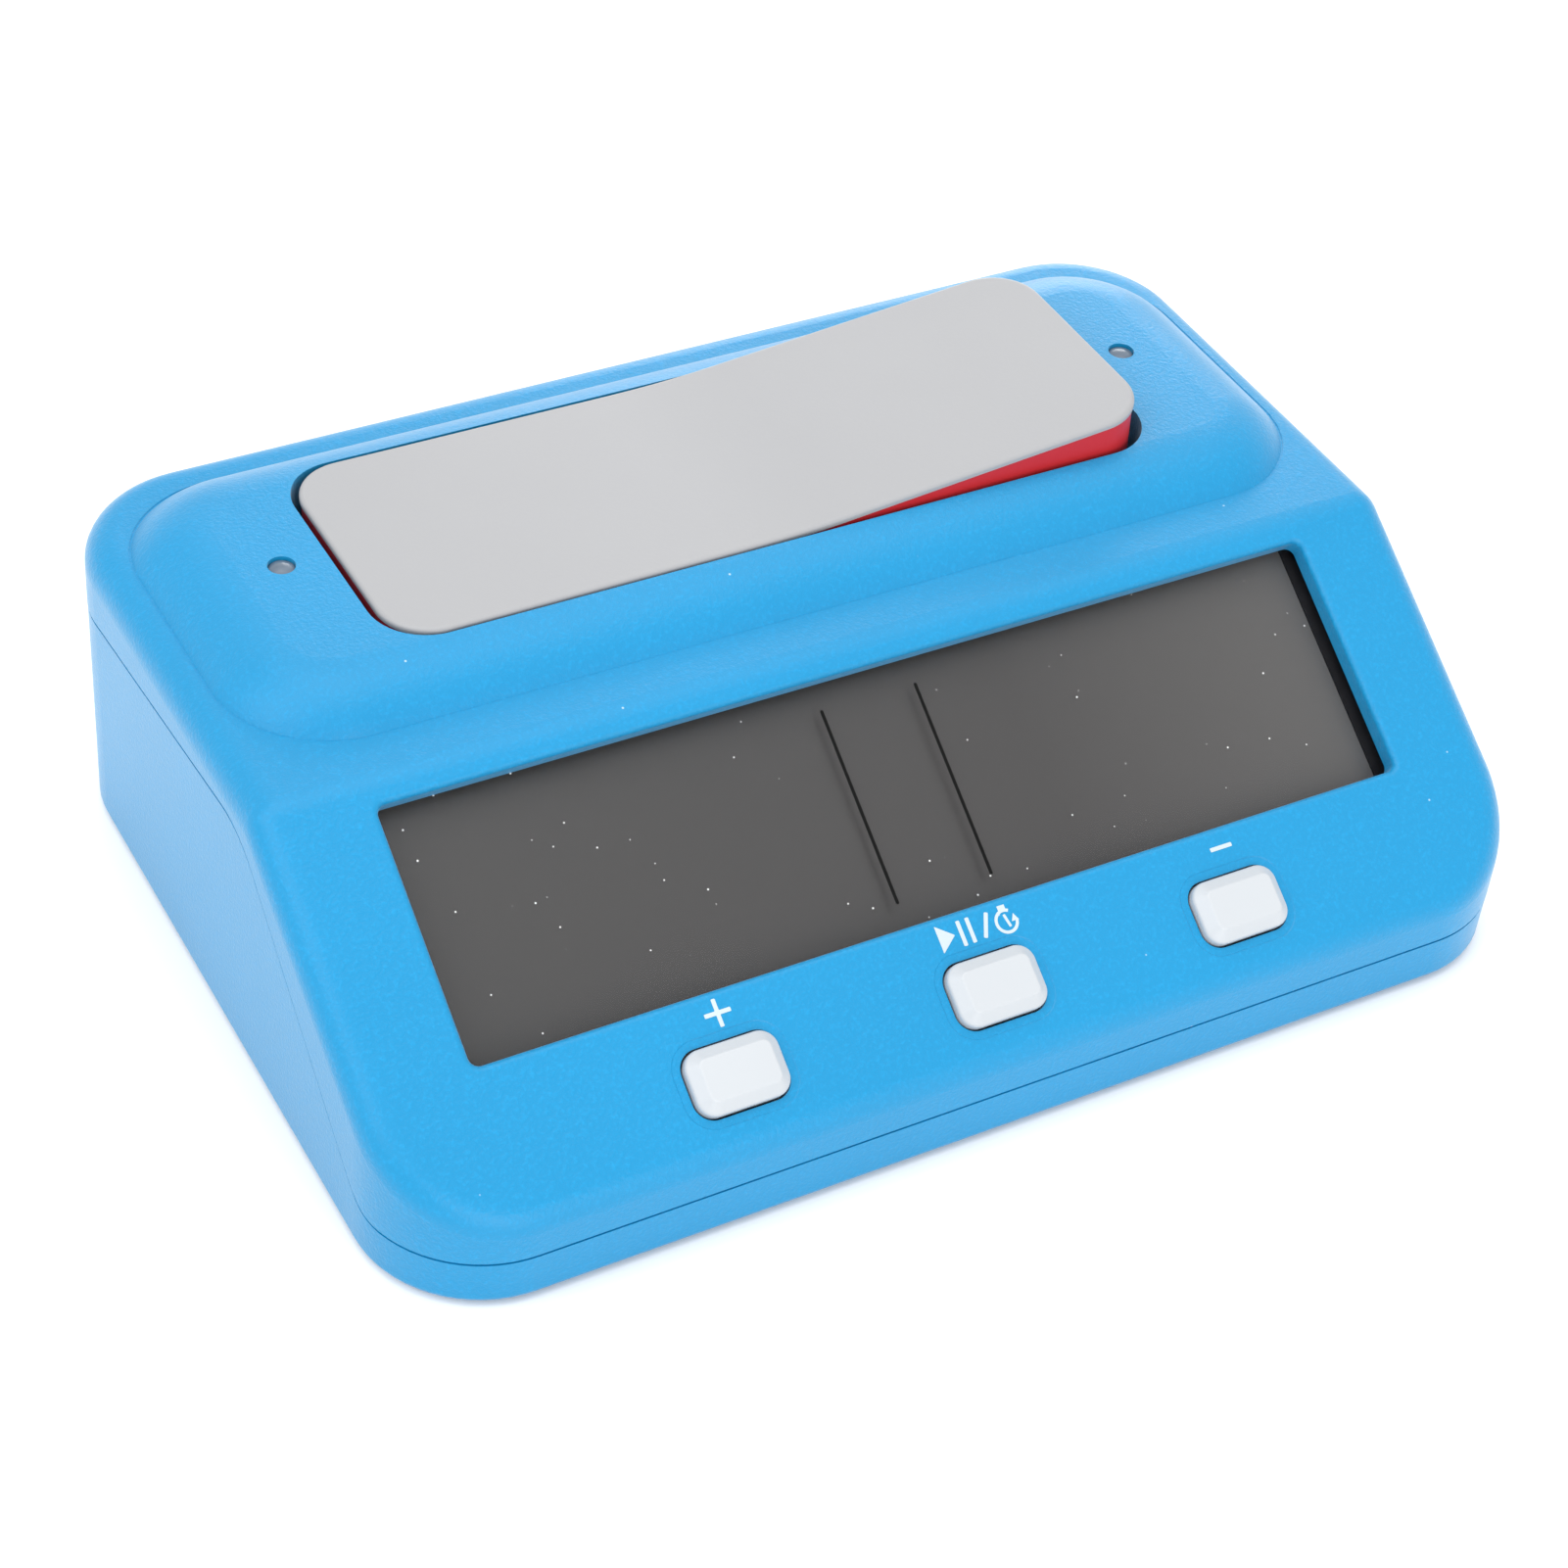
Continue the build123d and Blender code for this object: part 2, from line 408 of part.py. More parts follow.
def battery_door():
    door = box(-DOOR_X, DOOR_X, DOOR_Y0, DOOR_Y1, 0, DOOR_T)
    door = fillet(door.edges().filter_by(Axis.Z), 0.8)
    # spring latch: a tongue freed by two slits, with a finger groove and a small nose
    for s in (-1, 1):
        door -= box(s * 8 - 0.6, s * 8 + 0.6, DOOR_Y0 - 1, DOOR_Y0 + 9, -1, DOOR_T + 1)
    for k in range(3):
        door -= box(-5.5, 5.5, DOOR_Y0 + 2.2 + 1.8 * k, DOOR_Y0 + 3.0 + 1.8 * k, -1, 0.5)
    door += box(-4, 4, DOOR_Y0, DOOR_Y0 + 1.2, DOOR_T - 0.2, DOOR_T + 1.6)
    for x0, x1 in EARS:
        ear = rod_x(HINGE_R, x0, x1, HINGE_Y, HINGE_Z) + box(x0, x1, DOOR_Y1 - 2, HINGE_Y, 0, DOOR_T)
        door += ear + rod_x(HINGE_PIN_R, x0 - 1.7, x1 + 1.7, HINGE_Y, HINGE_Z)
    return door


def power_switch():
    """Small slide switch standing on the floor, its ribbed knob showing through the slot."""
    px, py = POWER
    body = box(px - POWER_X, px + POWER_X, py - POWER_Y, py + POWER_Y, FLOOR + 0.05, POWER_Z)
    body -= box(px - POWER_X + 1, px + POWER_X - 1, py - 2.8, py + 2.8, FLOOR - 1, 3.5)
    x = px - POWER_TRAVEL / 2
    slider = box(x - 3.5, x + 3.5, py - 2.4, py + 2.4, 2.35, 3.2)
    knob = box(x - 1.7, x + 1.7, py - 1.4, py + 1.4, 0.3, 2.5)
    for k in (-1, 0, 1):
        knob -= box(x + k - 0.2, x + k + 0.2, py - 2, py + 2, 0, 0.6)
    return body, slider + knob


# ---- fixings, lights, wires ---------------------------------------------------------------------------
def screw(head_r, head_h, r, length):
    """Cross-head screw, point up, its head's upper side at zero."""
    body = rod(r, 0, length) + rod(head_r, -head_h, 0)
    body = fillet(body.edges().sort_by(Axis.Z)[0], head_h * 0.3)
    slot, floor = head_r * 0.6, -head_h * 0.55
    body -= box(-slot, slot, -0.25, 0.25, -head_h - 1, floor)
    return body - box(-0.25, 0.25, -slot, slot, -head_h - 1, floor)


def fixings():
    big, small = screw(SCREW_HEAD_R, 1.6, SCREW_R, SCREW_LEN), screw(1.7, 1.0, SMALL_PILOT, 4.8)
    housing = [Pos(x, y, seat) * big for x, y, seat, meet in SCREW_SPOTS]
    boards = [PANEL * Pos(x, v, BOARD_N - BOARD_T) * small for x, v in BOARD_SCREWS]
    boards += [Pos(s * SIDE_SCREW_X, ROCK_Y, SIDE_BOARD_Z) * small for s in (-1, 1)]
    boards += [Pos(s * LIGHT_SCREW_X, LIGHT_Y, LIGHT_BOARD_Z) * small for s in (-1, 1)]
    feet = [rod(FOOT_R, -FOOT_H, 1.0, x, y) for x, y in FEET]
    feet = [fillet(f.faces().sort_by(Axis.Z)[0].edges(), 0.4) for f in feet]
    return group(housing), group(boards), group(feet)


def side_light(s):
    """Low-domed 3 mm lamp that nearly fills its hole, with its two legs and small board."""
    x, y = s * LIGHT_X, LIGHT_Y
    top, board_top = PILLOW_TOP - 0.15, LIGHT_BOARD_Z + SIDE_BOARD_T
    lamp = rod(LIGHT_R, 37.6, top, x, y)
    lamp &= Pos(x, y, top - LIGHT_DOME) * Sphere(LIGHT_DOME) + rod(2, 30, top - 2, x, y)
    lamp += rod(1.9, 36.8, 37.8, x, y)
    board = Pos(s * 62.0, y, 0) * box(-6.8, 6.8, -5, 5, LIGHT_BOARD_Z, board_top)
    board -= rod(SMALL_R, 30, 36, s * LIGHT_SCREW_X, y)
    for d in (-LIGHT_PITCH / 2, LIGHT_PITCH / 2):
        lamp += rod(0.25, LIGHT_BOARD_Z - 1, 37.0, x, y + d)
        board -= rod(0.3, 30, 36, x, y + d)
    return lamp, board


def on_board(x, v, out):
    """A point that far behind the main board, at panel coordinates x, v."""
    p = PANEL.from_local_coords(Vector(x, v, BOARD_N - BOARD_T - out))
    return (p.X, p.Y, p.Z)


def wires():
    y0, y1 = CELL_YS
    red = wire([(-29.2, y1, 21.25), (-31, 14, 21.6), (-33, -2, 21.5), on_board(-33, 40, 0.65)])
    black = wire([(-29.2, y0, 21.25), (-29.5, 8, 22.2), (-30, 0, 23.2), on_board(-29, 43, 0.65)])
    ribbon, lights = [], []
    for x in (10, 11.5, 13):
        ribbon.append(wire([(x, ROCK_Y - 8.6, 21.6), (x, 8, 22.5), on_board(x, 42, 0.65)], 0.5))
    for s in (-1, 1):
        for dx in (0, 1.6):
            ends = [(s * (59 + dx), LIGHT_Y - 5.6, 34.2), (s * (58.5 + dx), 8, 31)]
            lights.append(wire(ends + [on_board(s * (57 + dx), 44, 0.65)], 0.5))
    return red, black, group(ribbon), group(lights)


# ---- build and export -------------------------------------------------------------------------------------
save("upper_housing", upper_housing())
save("lower_housing", lower_housing())

rocker_cap, rocker_skirt = rocker()
save("rocker_cap", rocker_cap)
save("rocker_skirt", rocker_skirt)
save("rocker_axle", rod_y(AXLE_R, AXLE_Y0, AXLE_Y1, 0, PIVOT_Z))
switch_body, switch_slider, switch_board = side_switch()
save("side_switch_body", switch_body)
save("side_switch_slider", switch_slider)
save("side_switch_board", switch_board)

lens, lcd, lcd_frame, strips = display()
save("display_lens", lens)
save("lcd_panel", lcd)
save("lcd_frame", lcd_frame)
save("contact_strip_lower", strips[0])
save("contact_strip_upper", strips[1])
for name, shape in main_board().items():
    save(name, shape)
for name, x in KEY_XS.items():
    for kind, shape in zip(("key", "plunger", "key_switch"), key(x)):
        save(f"{kind}_{name}", shape)

cells, springs = batteries()
save("battery_front", cells[0])
save("battery_rear", cells[1])
save("battery_springs", springs)
for name, shape in zip(("contact_bridge", "contact_positive", "contact_negative"), contacts()):
    save(name, shape)
save("battery_door", battery_door())
for name, shape in zip(("power_switch_body", "power_slider"), power_switch()):
    save(name, shape)

for name, shape in zip(("housing_screws", "board_screws", "rubber_feet"), fixings()):
    save(name, shape)
for side, s in (("left", -1), ("right", 1)):
    for name, shape in zip((f"light_{side}", f"light_board_{side}"), side_light(s)):
        save(name, shape)
for name, shape in zip(("wire_positive", "wire_negative", "switch_wires", "light_wires"), wires()):
    save(name, shape)
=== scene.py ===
"""Looks of a pocket digital chess clock: materials, printed symbols, lights and camera."""
import math

import bmesh
import bpy
from mathutils import Matrix, Vector


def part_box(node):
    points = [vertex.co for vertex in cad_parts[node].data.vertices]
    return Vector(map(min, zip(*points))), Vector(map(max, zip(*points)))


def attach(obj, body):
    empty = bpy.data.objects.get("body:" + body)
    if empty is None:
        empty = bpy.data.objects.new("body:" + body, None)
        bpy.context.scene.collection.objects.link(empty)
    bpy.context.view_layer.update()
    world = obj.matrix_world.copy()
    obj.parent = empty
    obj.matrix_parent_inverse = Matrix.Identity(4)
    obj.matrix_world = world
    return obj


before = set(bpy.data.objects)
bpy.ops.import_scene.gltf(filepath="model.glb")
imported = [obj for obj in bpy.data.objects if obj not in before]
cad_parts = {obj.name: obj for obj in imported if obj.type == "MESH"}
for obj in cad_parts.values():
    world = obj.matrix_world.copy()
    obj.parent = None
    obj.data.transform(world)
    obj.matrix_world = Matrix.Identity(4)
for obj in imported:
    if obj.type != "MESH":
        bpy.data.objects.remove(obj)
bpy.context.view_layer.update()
MM = 0.001

# the sloping panel as the CAD has it, in mm: foot height, front edge, slope, depth of the lens
FOOT_H, FRONT_Y, FRONT_H = 0.6, -53.0, 12.0
SLOPE, LENS_DEPTH = math.radians(32.5), 2.6
ACROSS = Vector((1, 0, 0))
UPHILL = Vector((0, math.cos(SLOPE), math.sin(SLOPE)))
OUTWARD = Vector((0, -math.sin(SLOPE), math.cos(SLOPE)))


def on_panel(x, v, n):
    """A point given in mm across, up and out of the panel, in the frame's metres."""
    base = Vector((0, FRONT_Y, FRONT_H + FOOT_H))
    return (base + ACROSS * x + UPHILL * v + OUTWARD * n) * MM


# ---- materials -----------------------------------------------------------------------------
class Nodes:
    """Short helper for building a node tree around one Principled shader."""

    def __init__(self, name):
        self.mat = bpy.data.materials.new(name)
        self.mat.use_nodes = True
        self.tree = self.mat.node_tree
        self.shader = self.tree.nodes["Principled BSDF"]
        self.place = self.tree.nodes.new("ShaderNodeTexCoord").outputs["Object"]

    def new(self, kind, **values):
        node = self.tree.nodes.new(kind)
        for key, value in values.items():
            if hasattr(node, key):
                setattr(node, key, value)
            else:
                node.inputs[key].default_value = value
        return node

    def link(self, source, target):
        self.tree.links.new(source, target)

    def paint(self, **sources):
        for key, source in sources.items():
            self.link(source, self.shader.inputs[key.replace("_", " ")])

    def noise(self, scale, detail=2.0, rough=0.5):
        n = self.new("ShaderNodeTexNoise", Scale=scale, Detail=detail, Roughness=rough)
        self.link(self.place, n.inputs["Vector"])
        return n.outputs["Fac"]

    def ramp(self, fac, *stops):
        r = self.new("ShaderNodeValToRGB")
        while len(r.color_ramp.elements) < len(stops):
            r.color_ramp.elements.new(0.5)
        for element, (pos, col) in zip(r.color_ramp.elements, stops):
            element.position = pos
            element.color = (*col, 1)
        self.link(fac, r.inputs["Fac"])
        return r.outputs["Color"]

    def cloud(self, fac, low, high):
        """Soft blend between two colours, flat below 0.3 and above 0.7."""
        return self.ramp(fac, (0.3, low), (0.7, high))

    def span(self, fac, low, high, start=0.0, stop=1.0):
        m = self.new("ShaderNodeMapRange")
        limits = {"From Min": start, "From Max": stop, "To Min": low, "To Max": high}
        for key, value in limits.items():
            m.inputs[key].default_value = value
        self.link(fac, m.inputs["Value"])
        return m.outputs["Result"]

    def times(self, a, b):
        m = self.new("ShaderNodeMath", operation="MULTIPLY")
        self.link(a, m.inputs[0])
        self.link(b, m.inputs[1])
        return m.outputs["Value"]

    def mix(self, fac, a, colour):
        m = self.new("ShaderNodeMix", data_type="RGBA")
        self.link(fac, m.inputs["Factor"])
        self.link(a, m.inputs["A"])
        m.inputs["B"].default_value = (*colour, 1)
        return m.outputs["Result"]

    def axis(self, letter):
        split = self.new("ShaderNodeSeparateXYZ")
        self.link(self.place, split.inputs["Vector"])
        return split.outputs[letter]

    def bump(self, height, strength, distance, under=None):
        b = self.new("ShaderNodeBump", Strength=strength, Distance=distance)
        self.link(height, b.inputs["Height"])
        if under is not None:
            self.link(under, b.inputs["Normal"])
        return b.outputs["Normal"]

    def dust(self, scale, size, amount):
        """Sparse specks of a radius in metres, as strong as amount, in about every third cell."""
        cells = self.new("ShaderNodeTexVoronoi", Scale=scale)
        self.link(self.place, cells.inputs["Vector"])
        near = self.span(cells.outputs["Distance"], amount, 0.0, size * scale * 0.5, size * scale)
        split = self.new("ShaderNodeSeparateColor")
        self.link(cells.outputs["Color"], split.inputs["Color"])
        return self.times(near, self.span(split.outputs["Red"], 0.0, 1.0, 0.62, 0.72))

    def done(self, **values):
        for key, value in values.items():
            self.shader.inputs[key.replace("_", " ")].default_value = value
        return self.mat


def scaled(col, k):
    """A colour made k times as bright."""
    return tuple(min(1.0, c * k) for c in col)


DUST_SIZE, DUST_PALE = 0.00018, (0.8, 0.88, 0.95)
GRAIN_RISE, WAVE_RISE, TRACK_RISE, FILM_RISE = 0.0001, 0.0004, 0.00003, 0.00002    # bump heights, m


def moulded(name, col, rough=0.45, grain=2600, depth=0.25, mottling=0.02, dusty=0.0, painted_glint=0.0,
            **extra):
    """Moulded plastic: fine eroded grain, faint cloudy colour, roughness that follows the grain,
    and optional painted glints where the grain stands highest.
    """
    m = Nodes(name)
    base = m.cloud(m.noise(38, 3), scaled(col, 1 - mottling), scaled(col, 1 + mottling))
    if dusty:
        base = m.mix(m.dust(200, DUST_SIZE, dusty), base, DUST_PALE)
    fine = m.noise(grain, 3, 0.65)
    # painted glints: the highest grain is painted brighter in the base colour, standing in for
    # glancing light catching the grain
    if painted_glint:
        base = m.mix(m.span(fine, 0.0, painted_glint, 0.5, 0.75), base, scaled(col, 2.2))
    waves = m.bump(m.noise(60, 2), 0.08, WAVE_RISE)
    m.paint(Base_Color=base, Roughness=m.span(fine, rough - 0.1, rough + 0.1),
            Normal=m.bump(fine, depth, GRAIN_RISE, waves))
    return m.done(**extra)


def metal(name, col, rough=0.32):
    """Plated metal with a fine mottled surface."""
    m = Nodes(name)
    streaks = m.noise(900, 4, 0.7)
    m.paint(Base_Color=m.cloud(streaks, scaled(col, 0.85), scaled(col, 1.05)),
            Roughness=m.span(streaks, rough - 0.1, rough + 0.12),
            Normal=m.bump(streaks, 0.1, TRACK_RISE))
    return m.done(Metallic=1.0)


def smoked_lens():
    """Thin matt acrylic: nearly clear, with a few specks of dust and light handling marks."""
    m = Nodes("smoked_lens")
    specks = m.dust(450, DUST_SIZE, 0.9)
    haze = m.cloud(m.noise(30, 1), (0.010, 0.010, 0.010), (0.016, 0.016, 0.016))
    marks = m.span(m.noise(45, 4, 0.6), 0.28, 0.36, 0.35, 0.7)
    m.paint(Base_Color=m.mix(specks, haze, (0.95, 0.95, 0.95)), Roughness=marks,
            Alpha=m.span(specks, 0.04, 0.9))
    return m.done(IOR=1.49)


def lcd_off():
    """Switched-off reflective LCD: flat warm grey, with a painted soft reflection that makes it a
    little lighter towards the right.
    """
    m = Nodes("lcd_off")
    low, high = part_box("lcd_panel")
    along = m.span(m.axis("X"), 0.0, 1.0, low[0], high[0])
    # painted reflection: the grey lightens towards the right end, standing in for a soft reflection
    # of light there
    painted_reflection_sweep = m.ramp(along, (0.0, (0.045, 0.044, 0.044)), (0.65, (0.047, 0.045, 0.045)),
                   (1.0, (0.085, 0.082, 0.081)))
    film = m.noise(260, 2)
    m.paint(Base_Color=painted_reflection_sweep, Roughness=m.span(film, 0.36, 0.40),
            Normal=m.bump(film, 0.02, FILM_RISE))
    return m.done()


def lamp_epoxy():
    """Grey diffusing epoxy of an unlit lamp."""
    m = Nodes("lamp_epoxy")
    haze = m.noise(700, 2)
    m.paint(Base_Color=m.cloud(haze, (0.100, 0.140, 0.190), (0.135, 0.180, 0.235)),
            Roughness=m.span(haze, 0.15, 0.3))
    return m.done(Transmission_Weight=0.15, IOR=1.5)


def circuit():
    """Solder mask over copper: two greens in a fine square pattern of tracks."""
    m = Nodes("circuit_board")
    cells = m.new("ShaderNodeTexVoronoi", distance="CHEBYCHEV", Scale=320)
    m.link(m.place, cells.inputs["Vector"])
    far = cells.outputs["Distance"]
    m.paint(Base_Color=m.ramp(far, (0.32, (0.012, 0.11, 0.045)), (0.40, (0.020, 0.16, 0.060))),
            Roughness=m.span(m.noise(900), 0.28, 0.38), Normal=m.bump(far, 0.2, TRACK_RISE))
    return m.done()


def cell_wrapper(node, tip_right):
    """AA cell: dark wrapper, copper-coloured band by the positive end, bare metal at both ends."""
    m = Nodes("cell_wrapper_" + node)
    low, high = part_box(node)
    start, stop = (high[0], low[0]) if tip_right else (low[0], high[0])
    bare, copper, dark = (0.55, 0.55, 0.54), (0.50, 0.22, 0.06), (0.02, 0.02, 0.022)
    along = m.span(m.axis("X"), 0.0, 1.0, start, stop)
    bands = m.ramp(along, (0.0, bare), (0.035, copper), (0.30, dark), (0.985, bare))
    bands.node.color_ramp.interpolation = "CONSTANT"
    m.paint(Base_Color=bands, Roughness=m.span(m.noise(400), 0.25, 0.38))
    return m.done(Metallic=0.6)


# the blue case gets painted glints on its grain, standing in for glancing light
blue = moulded("case_blue", (0.002, 0.226, 0.462), rough=0.35, grain=2000, depth=0.8, dusty=0.45,
               painted_glint=0.14, Specular_IOR_Level=0.34, Sheen_Weight=0.2, Sheen_Roughness=0.4)
grey = moulded("cap_grey", (0.315, 0.318, 0.329), rough=0.42, grain=1900, depth=0.12,
               mottling=0.012)
red = moulded("skirt_red", (0.50, 0.022, 0.029), rough=0.40, grain=2200, depth=0.1, mottling=0.04,
              Specular_IOR_Level=0.3)
white = moulded("key_white", (0.46, 0.485, 0.51), rough=0.36, grain=1500, depth=0.06,
                mottling=0.012)
ink = moulded("ink_white", (0.46, 0.54, 0.59), rough=0.5, grain=5000, depth=0.1, mottling=0.03)
line_ink = moulded("line_ink", (0.004, 0.004, 0.004), rough=0.5, grain=5000, depth=0.05,
                   Specular_IOR_Level=0.1)
black = moulded("black_plastic", (0.010, 0.010, 0.012), rough=0.45)
matt_black = moulded("matt_black", (0.008, 0.008, 0.010), rough=0.55, Specular_IOR_Level=0.15)
ivory = moulded("ivory_plastic", (0.60, 0.59, 0.54))
epoxy = moulded("black_epoxy", (0.015, 0.015, 0.016), rough=0.22, grain=600, depth=0.3)
rubber = moulded("rubber", (0.025, 0.025, 0.026), rough=0.78, grain=3500, depth=0.5)
steel = metal("nickel_steel", (0.62, 0.61, 0.59))
red_wire = moulded("red_insulation", (0.45, 0.02, 0.02), rough=0.35)
dark_wire = moulded("dark_insulation", (0.03, 0.03, 0.035), rough=0.35)
board, lamp = circuit(), lamp_epoxy()

PAINT = {
    "upper_housing": blue, "lower_housing": blue, "battery_door": blue,
    "rocker_cap": grey, "rocker_skirt": red, "rocker_axle": steel,
    "side_switch_body": black, "side_switch_slider": ivory, "side_switch_board": board,
    "display_lens": smoked_lens(), "lcd_panel": lcd_off(), "lcd_frame": matt_black,
    "contact_strip_lower": rubber, "contact_strip_upper": rubber,
    "main_board": board, "controller_blob": epoxy, "crystal": steel, "capacitor": epoxy,
    "buzzer": black, "chip_resistors": epoxy,
    "battery_front": cell_wrapper("battery_front", True),
    "battery_rear": cell_wrapper("battery_rear", False),
    "battery_springs": steel, "contact_bridge": steel,
    "contact_positive": steel, "contact_negative": steel,
    "power_switch_body": steel, "power_slider": black,
    "housing_screws": steel, "board_screws": steel,
    "rubber_feet": rubber, "wire_positive": red_wire, "wire_negative": dark_wire,
    "switch_wires": dark_wire, "light_wires": dark_wire,
}
for label in ("plus", "play", "minus"):
    PAINT.update({"key_" + label: white, "plunger_" + label: black, "key_switch_" + label: steel})
for side in ("left", "right"):
    PAINT.update({"light_" + side: lamp, "light_board_" + side: board})

for name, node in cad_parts.items():
    for slot in node.material_slots:
        slot.material = PAINT[name]


# ---- printed symbols -------------------------------------------------------------------------
def print_shape(name, outline, n, thick, material):
    """A closed outline in panel mm, laid on the panel as a thin solid layer."""
    bm = bmesh.new()
    rings = [[bm.verts.new(on_panel(x, v, h)) for x, v in outline] for h in (n, n + thick)]
    for ring in rings:
        bm.faces.new(ring)
    for k in range(len(outline)):
        j = (k + 1) % len(outline)
        bm.faces.new((rings[0][k], rings[0][j], rings[1][j], rings[1][k]))
    bmesh.ops.recalc_face_normals(bm, faces=bm.faces)
    mesh = bpy.data.meshes.new(name)
    bm.to_mesh(mesh)
    bm.free()
    mesh.materials.append(material)
    piece = bpy.data.objects.new(name, mesh)
    bpy.context.scene.collection.objects.link(piece)
    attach(piece, "case")


def rounded(points, r, steps=4):
    """Closed outline with every corner softened over a length r along both sides."""
    pts = [Vector(p) for p in points]
    out = []
    for k, p in enumerate(pts):
        start = p + (pts[k - 1] - p).normalized() * r
        end = p + (pts[(k + 1) % len(pts)] - p).normalized() * r
        for i in range(steps + 1):
            u = i / steps
            out.append(start * (1 - u) ** 2 + p * 2 * u * (1 - u) + end * u ** 2)
    return out


def stroke(x0, v0, x1, v1, width):
    """A straight printed stroke with softened corners."""
    a, b = Vector((x0, v0)), Vector((x1, v1))
    side = (b - a).orthogonal().normalized() * width / 2
    return rounded([a - side, b - side, b + side, a + side], width * 0.3)


def arc(centre, radius, start, stop, steps=30):
    """Points along a circle from one angle to another, in degrees."""
    turns = [math.radians(start + (stop - start) * k / steps) for k in range(steps + 1)]
    return [centre + Vector((math.cos(t), math.sin(t))) * radius for t in turns]


def plus_sign(x, v, reach, width):
    """Plus sign of four equal arms, reach long from the middle."""
    w = width / 2
    corners = [(w, reach), (w, w), (reach, w), (reach, -w), (w, -w), (w, -reach),
               (-w, -reach), (-w, -w), (-reach, -w), (-reach, w), (-w, w), (-w, reach)]
    return rounded([(x + dx, v + dv) for dx, dv in corners], CORNER)


def stopwatch(x, v, outer, width):
    """Ring broken at the upper right, its end drawn as an arrowhead, with a crown on top."""
    c, inner = Vector((x, v)), outer - width
    head = [c + Vector(p) for p in ((1.55, -0.2), (1.10, 0.68), (0.62, -0.2))]
    crown = [c + Vector(p) for p in ((0.42, 1.96), (-0.55, 1.96))]
    ring = arc(c, outer, 60, 74, 4) + crown + arc(c, outer, 111, 350)
    return ring + head + arc(c, inner, 350, 60)


# stroke width, corner rounding, depth the ink is sunk, its thickness, height of the symbols' middle
STROKE, CORNER, INK_SINK, INK_T, SYMBOL_V = 0.5, 0.12, -0.01, 0.05, 15.2
RULE_X, RULE_V0, RULE_V1, RULE_WIDTH, RULE_T = 6.25, 21.0, 45.2, 0.42, 0.03

symbols = {
    "plus": plus_sign(-32.73, SYMBOL_V, 1.63, STROKE),
    "minus": stroke(32.7, SYMBOL_V + 0.1, 35.7, SYMBOL_V + 0.1, STROKE),
    "play": rounded([(-4.4, 16.85), (-2.3, SYMBOL_V), (-4.4, 13.55)], CORNER),
    "pause_left": stroke(-1.43, 13.62, -1.43, 16.68, STROKE),
    "pause_right": stroke(-0.21, 13.66, -0.21, 16.72, STROKE),
    "divider": stroke(1.22, 13.78, 2.38, 16.58, STROKE),
    "stopwatch": stopwatch(4.45, 14.88, 1.5, 0.38),
    "stopwatch_hand": stroke(4.38, 15.72, 4.72, 14.15, 0.34),
}
for label, outline in symbols.items():
    print_shape("symbol_" + label, outline, INK_SINK, INK_T, ink)

# two rules printed on the lens, either side of its middle
for label, x in (("left", -RULE_X), ("right", RULE_X)):
    print_shape("lens_rule_" + label, stroke(x, RULE_V0, x, RULE_V1, RULE_WIDTH),
                INK_SINK - LENS_DEPTH, RULE_T, line_ink)


# ---- floor, lights, camera -------------------------------------------------------------------
FLOOR, LIGHT_AIM = 4, Vector((0, 0, 0.02))     # half width of the floor; where the lights point, m


def white_floor():
    """Plain pale sheet under the clock."""
    mesh = bpy.data.meshes.new("floor")
    corners = [(-FLOOR, -FLOOR, 0), (FLOOR, -FLOOR, 0), (FLOOR, FLOOR, 0), (-FLOOR, FLOOR, 0)]
    mesh.from_pydata(corners, [], [(0, 1, 2, 3)])
    paper = Nodes("paper")
    paper.paint(Base_Color=paper.cloud(paper.noise(3), (0.93, 0.93, 0.93), (0.95, 0.95, 0.95)))
    mesh.materials.append(paper.done(Roughness=0.9))
    floor = bpy.data.objects.new("floor", mesh)
    bpy.context.scene.collection.objects.link(floor)


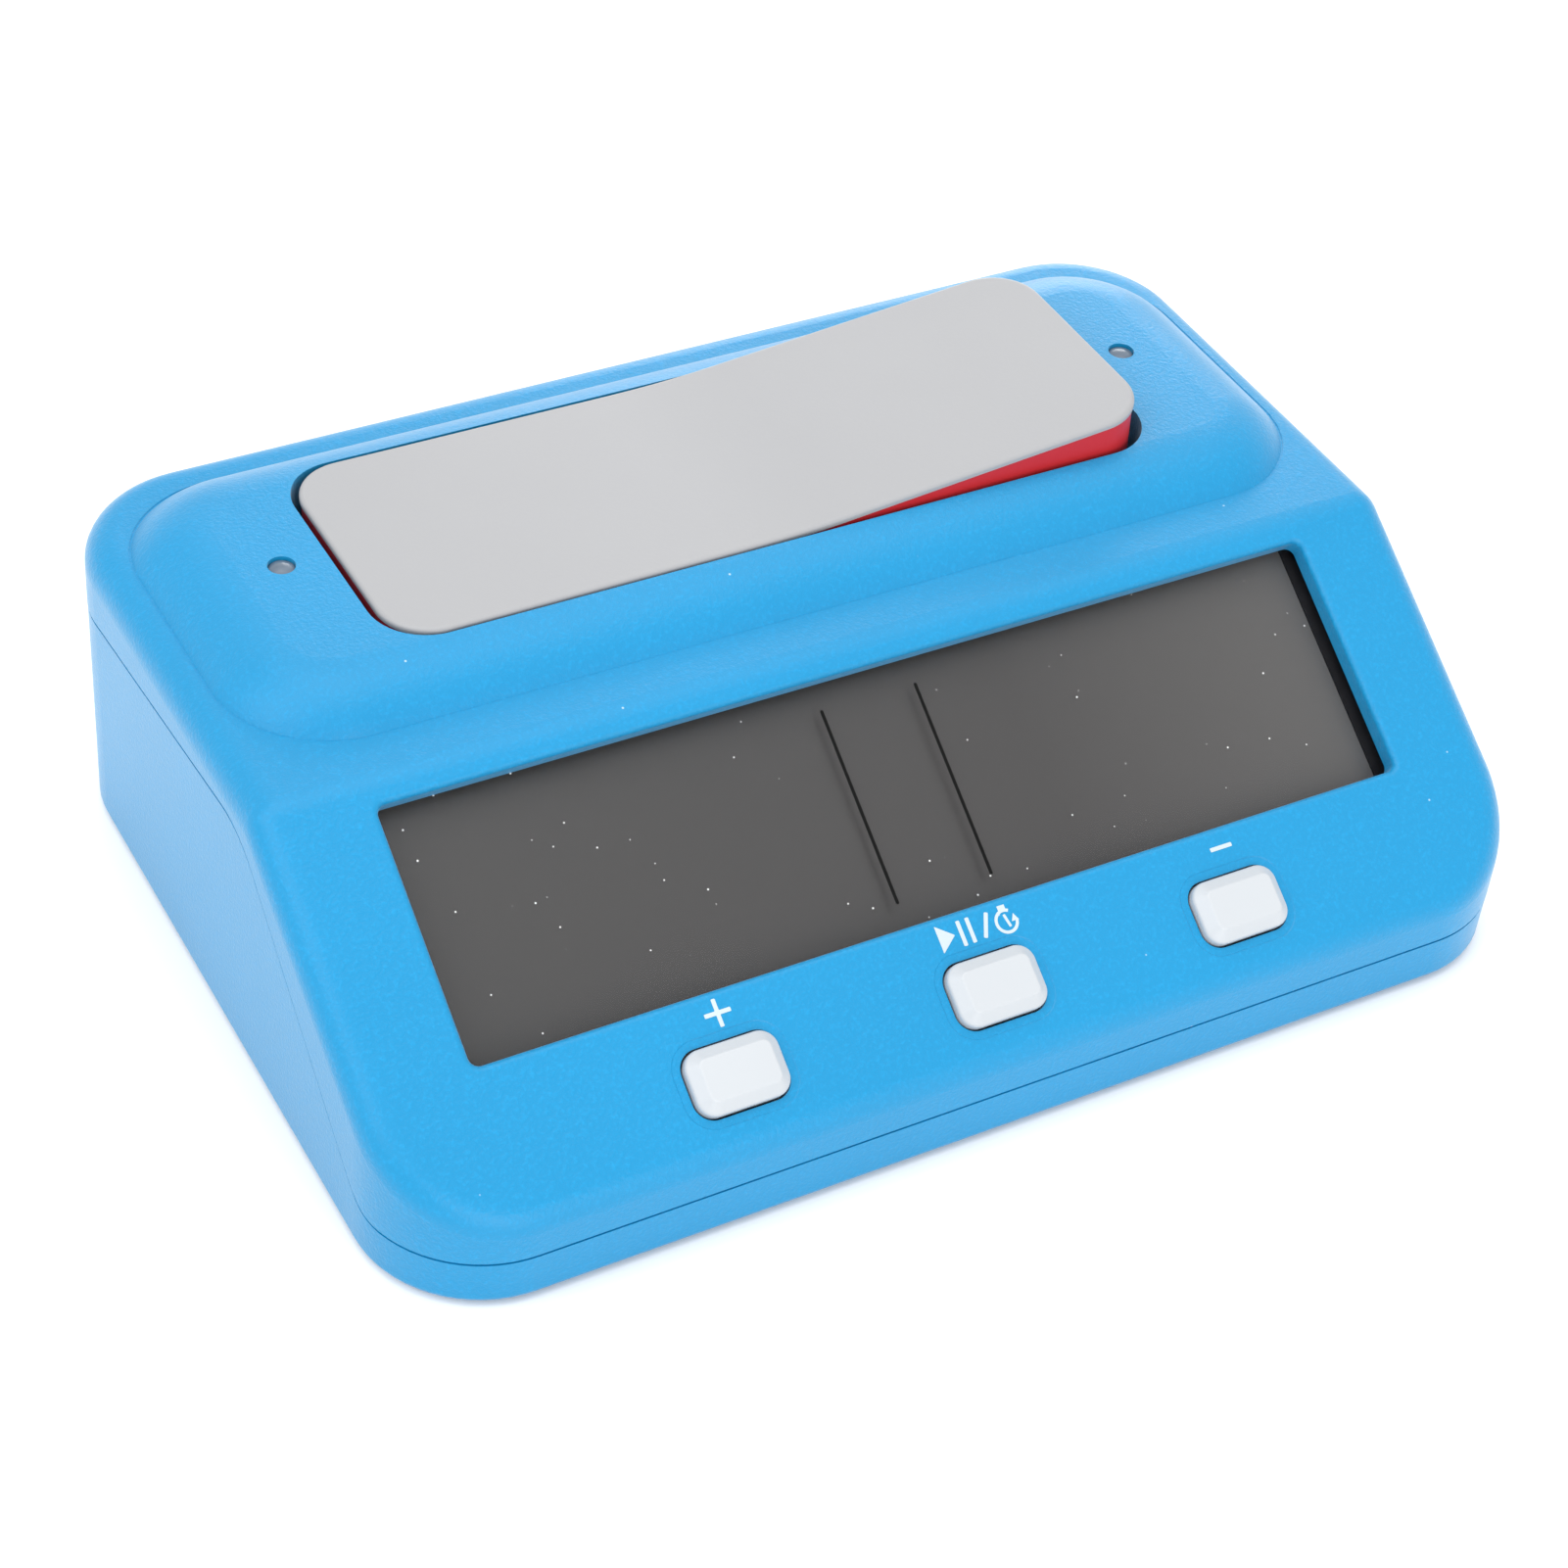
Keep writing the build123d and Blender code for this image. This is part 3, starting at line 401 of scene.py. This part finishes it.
def area_light(name, place, size, watts):
    """Square soft light, size metres wide, turned towards the clock."""
    data = bpy.data.lights.new(name, "AREA")
    data.shape, data.size, data.energy = "SQUARE", size, watts
    light = bpy.data.objects.new(name, data)
    light.location = place
    light.rotation_euler = (LIGHT_AIM - Vector(place)).to_track_quat("-Z", "Y").to_euler()
    bpy.context.scene.collection.objects.link(light)


white_floor()
area_light("key_light", (-0.9, -0.05, 1.0), 1.0, 6)
area_light("top_light", (0.1, 0.2, 1.4), 1.2, 8)
area_light("front_light", (-0.1, -1.3, 0.5), 1.0, 8)
area_light("back_light", (0.8, 1.2, 0.4), 0.6, 5)

world = bpy.data.worlds.new("studio")
world.use_nodes = True
surround = world.node_tree.nodes["Background"].inputs
surround["Color"].default_value = (1, 1, 1, 1)
surround["Strength"].default_value = 1.0
bpy.context.scene.world = world
bpy.context.scene.view_settings.view_transform = "Standard"

# camera: its direction and roll, then distance, sideways and upward shift, lens and sensor in mm
AZIMUTH, ELEVATION, ROLL = math.radians(-32.39), math.radians(41.07), math.radians(5.9)
DISTANCE, AIM_X, AIM_Y, LENS, SENSOR = 441.28, -0.69, 7.26, 81.37, 36
NEAR_CLIP = 0.01
back = Vector((math.sin(AZIMUTH) * math.cos(ELEVATION), -math.cos(AZIMUTH) * math.cos(ELEVATION),
               math.sin(ELEVATION)))
right = Vector((math.cos(AZIMUTH), math.sin(AZIMUTH), 0))
up = back.cross(right)
cam_x = right * math.cos(ROLL) + up * math.sin(ROLL)
cam_y = up * math.cos(ROLL) - right * math.sin(ROLL)
camera_data = bpy.data.cameras.new("camera")
camera_data.lens, camera_data.sensor_width, camera_data.clip_start = LENS, SENSOR, NEAR_CLIP
camera = bpy.data.objects.new("camera", camera_data)
eye = (cam_x * AIM_X + cam_y * AIM_Y + back * DISTANCE + Vector((0, 0, FOOT_H))) * MM
camera.matrix_world = Matrix.Translation(eye) @ Matrix((cam_x, cam_y, back)).transposed().to_4x4()
bpy.context.scene.collection.objects.link(camera)
bpy.context.scene.camera = camera
